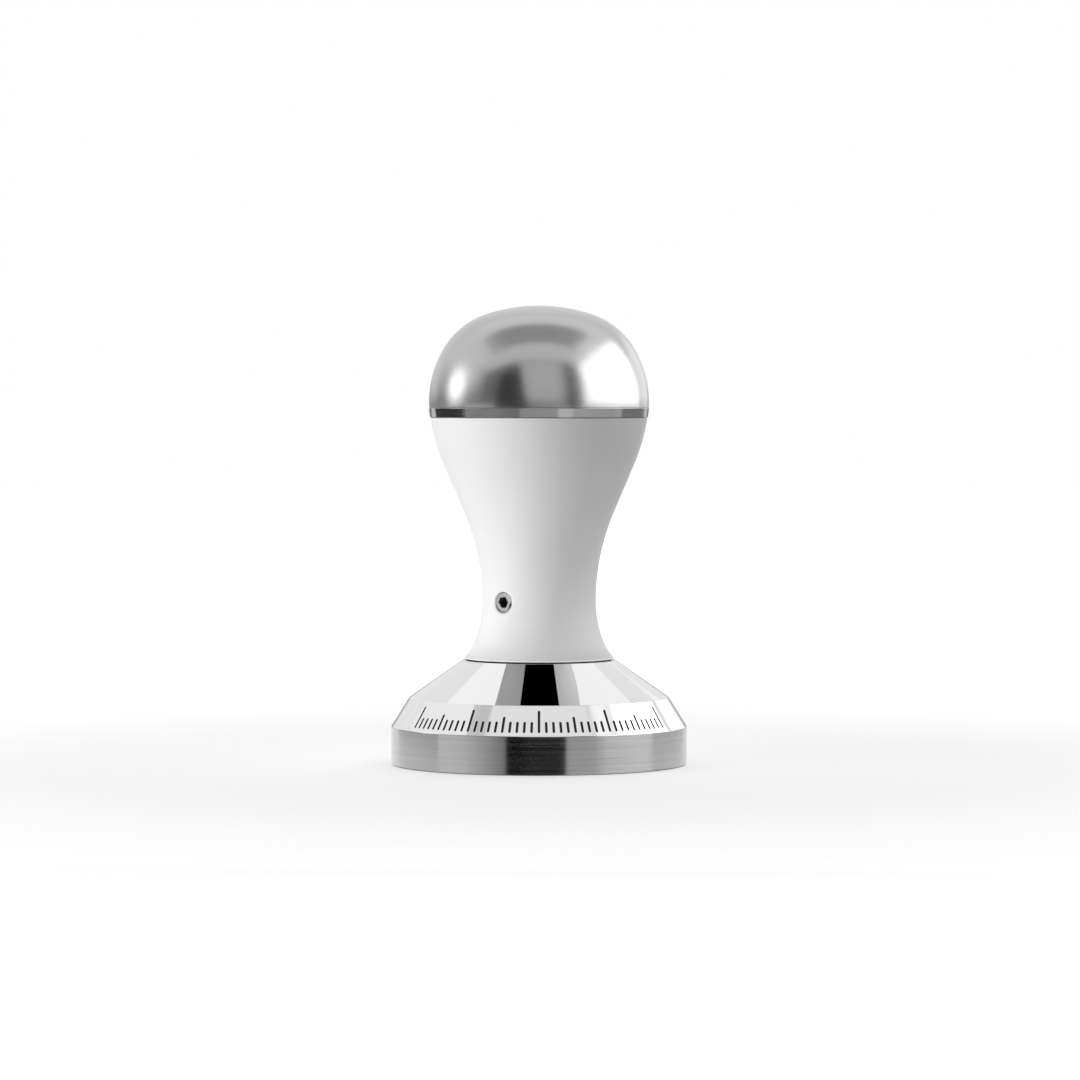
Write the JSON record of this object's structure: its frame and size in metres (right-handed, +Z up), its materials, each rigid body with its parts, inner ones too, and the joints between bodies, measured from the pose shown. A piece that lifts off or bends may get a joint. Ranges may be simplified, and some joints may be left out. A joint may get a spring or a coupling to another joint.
{
  "type": "espresso tamper",
  "caption": "Espresso tamper: flat steel base with a conical top, waisted white handle and domed metal cap; the handle slides up its post and locks with a side set screw.",
  "frame": {"origin": "centre of the flat tamping face, on the axis", "axes": "+Z up along the axis of the base and handle; -Y towards the middle of the scale on the bevel, the front"},
  "size_m": [0.0584, 0.0584, 0.0906],
  "materials": {
    "polished_steel": "polished",
    "turned_steel": "satin",
    "black_rubber": "matte",
    "white_coat": "satin",
    "acetal": "satin",
    "ring_steel": "satin",
    "satin_aluminium": "satin",
    "fastener_steel": "satin",
    "pad_brass": "satin"
  },
  "bodies": {
    "base": {"tamper_base": "polished_steel", "post": "turned_steel", "foot_washer": "black_rubber", "post_o_ring": "black_rubber"},
    "handle": {"handle_body": "white_coat", "trim_ring": "ring_steel", "dome_cap": "satin_aluminium", "cap_screw": "fastener_steel", "cap_washer": "fastener_steel", "cap_spring_washer": "fastener_steel", "lower_guide_bush": "acetal", "upper_guide_bush": "acetal"},
    "lock_pad": {"lock_pad": "pad_brass"},
    "lock_screw": {"lock_screw": "fastener_steel"}
  },
  "joints": [
    {"name": "handle_height", "type": "slide", "parent": "base", "child": "handle", "axis": [0, 0, 1], "range_m": [0, 0.01]},
    {"name": "lock_screw_travel", "type": "slide", "parent": "handle", "child": "lock_pad", "axis": [-0.6347, -0.7727, 0], "range_m": [0, 0.0021]},
    {"name": "lock_screw_turn", "type": "hinge", "parent": "lock_pad", "child": "lock_screw", "pos_m": [-0.00705, -0.00858, 0.0323], "axis": [-0.6347, -0.7727, 0], "range_deg": [0, 1080]}
  ],
  "couplings": [
    {"joint": "lock_screw_turn", "follows": "lock_screw_travel", "rad_per_m": 8976}
  ]
}
